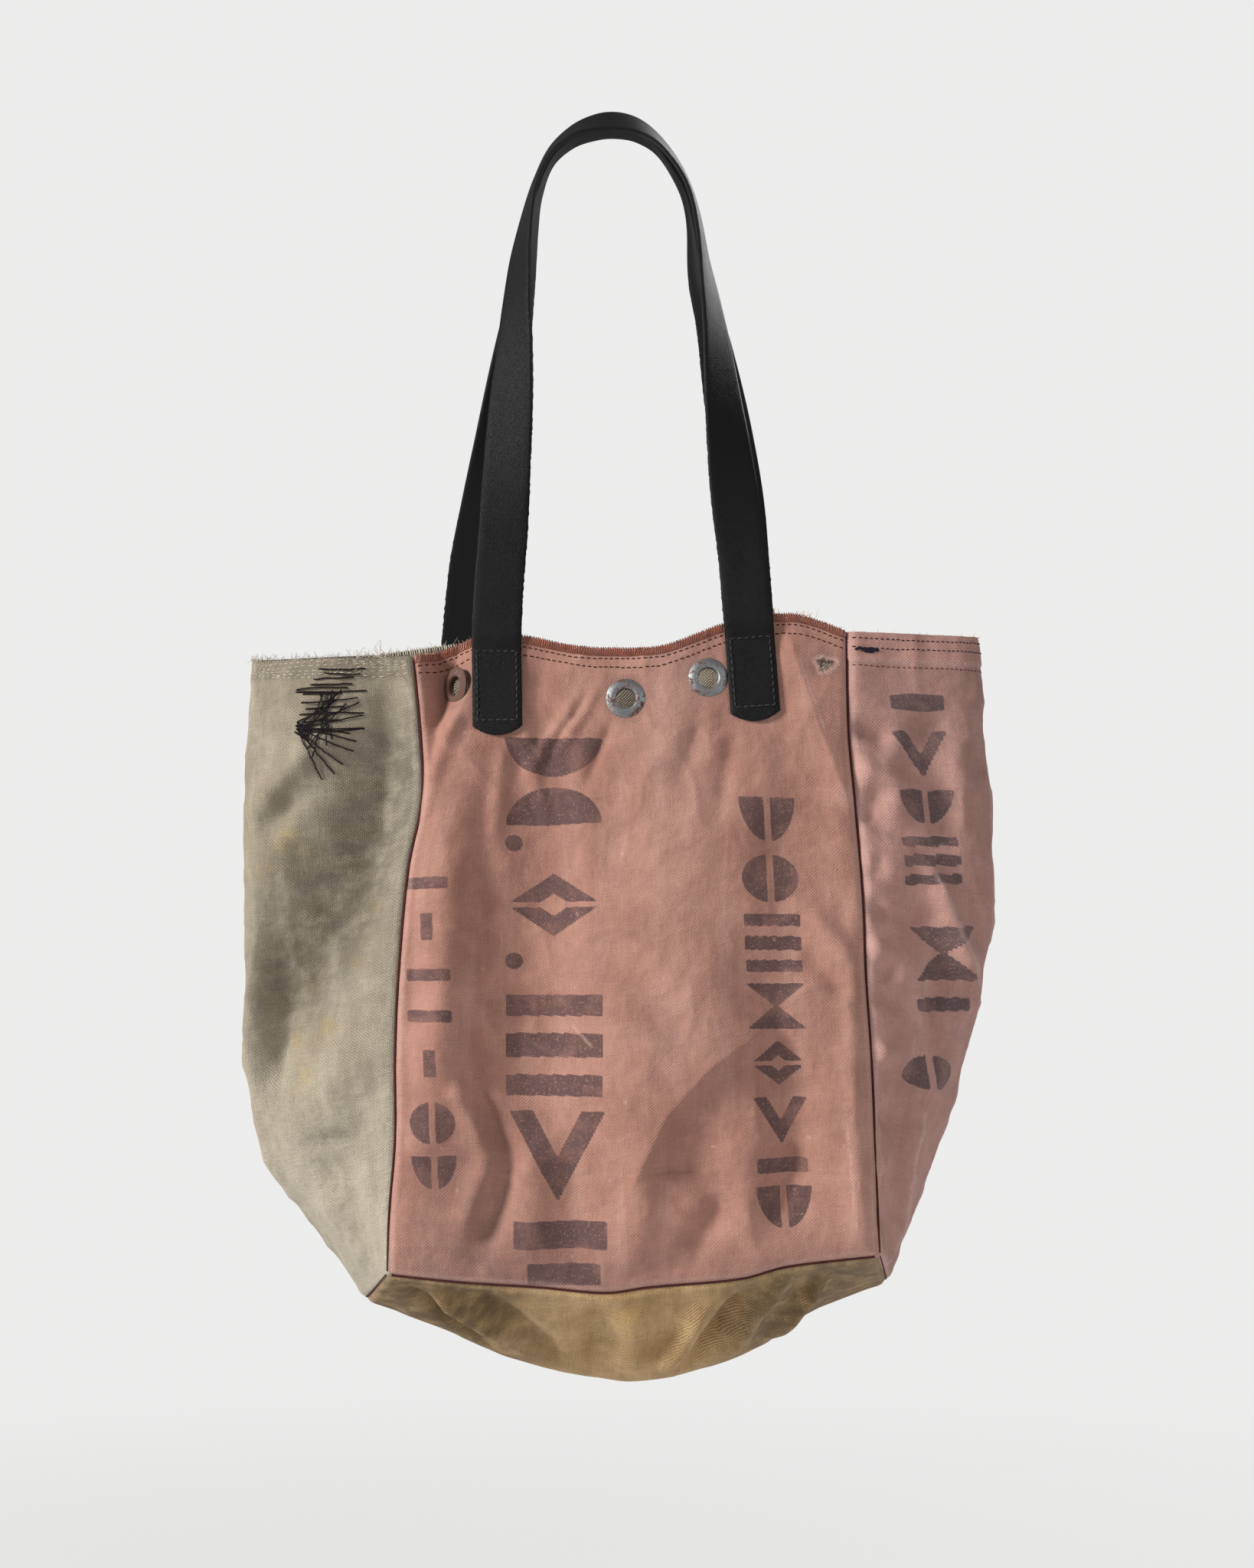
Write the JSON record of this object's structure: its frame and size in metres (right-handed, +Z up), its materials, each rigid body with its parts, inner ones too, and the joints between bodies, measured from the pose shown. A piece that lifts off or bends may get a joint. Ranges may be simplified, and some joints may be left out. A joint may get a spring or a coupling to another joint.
{
  "type": "canvas tote bag",
  "caption": "Open-topped soft canvas tote with gusseted sides, a folded base, metal eyelets near the mouth and two long leather handles that loop together for hanging.",
  "frame": {"origin": "underside of the looped handles' crown, where the bag hangs, midway between the two pegs that hold it", "axes": "+Z up, +X to the right of a viewer facing the front panel, +Y from the front panel towards the wall behind"},
  "size_m": [0.4895, 0.1489, 0.8392],
  "materials": {
    "pink_canvas": "faded salmon-pink plain-weave cotton canvas",
    "beige_canvas": "stained beige cotton twill canvas",
    "cream_hem": "frayed cream canvas edge",
    "gold_canvas": "olive-gold twill canvas",
    "edging_thread": "rust overlock thread over a raw canvas edge",
    "black_leather": "semi-matt black bridle leather",
    "eyelet_steel": "worn zinc-plated steel with rust"
  },
  "bodies": {
    "bag": {"front_panel": "pink_canvas", "front_rim_edging": "edging_thread", "back_panel": "beige_canvas", "back_rim_edging": "cream_hem", "left_gusset": "beige_canvas", "left_gusset_hem": "cream_hem", "right_gusset": "pink_canvas", "right_gusset_hem": "pink_canvas", "bottom_panel": "gold_canvas", "left_eyelet": "eyelet_steel", "left_eyelet_washer": "eyelet_steel", "middle_eyelet": "eyelet_steel", "middle_eyelet_washer": "eyelet_steel", "right_eyelet": "eyelet_steel", "right_eyelet_washer": "eyelet_steel", "front_left_tab": "black_leather", "front_right_tab": "black_leather", "back_left_tab": "black_leather", "back_right_tab": "black_leather"},
    "front_handle": {"front_handle_strap": "black_leather"},
    "back_handle": {"back_handle_strap": "black_leather"}
  },
  "joints": [
    {"name": "front_handle_fold", "type": "hinge", "parent": "bag", "child": "front_handle", "pos_m": [0.00425, -0.05205, -0.3372], "axis": [0.9985, 0.0018, 0.055], "range_deg": [0, 160]},
    {"name": "back_handle_fold", "type": "hinge", "parent": "bag", "child": "back_handle", "pos_m": [-0.006, 0.0574, -0.3409], "axis": [-0.9995, 0, -0.0306], "range_deg": [0, 160]}
  ]
}
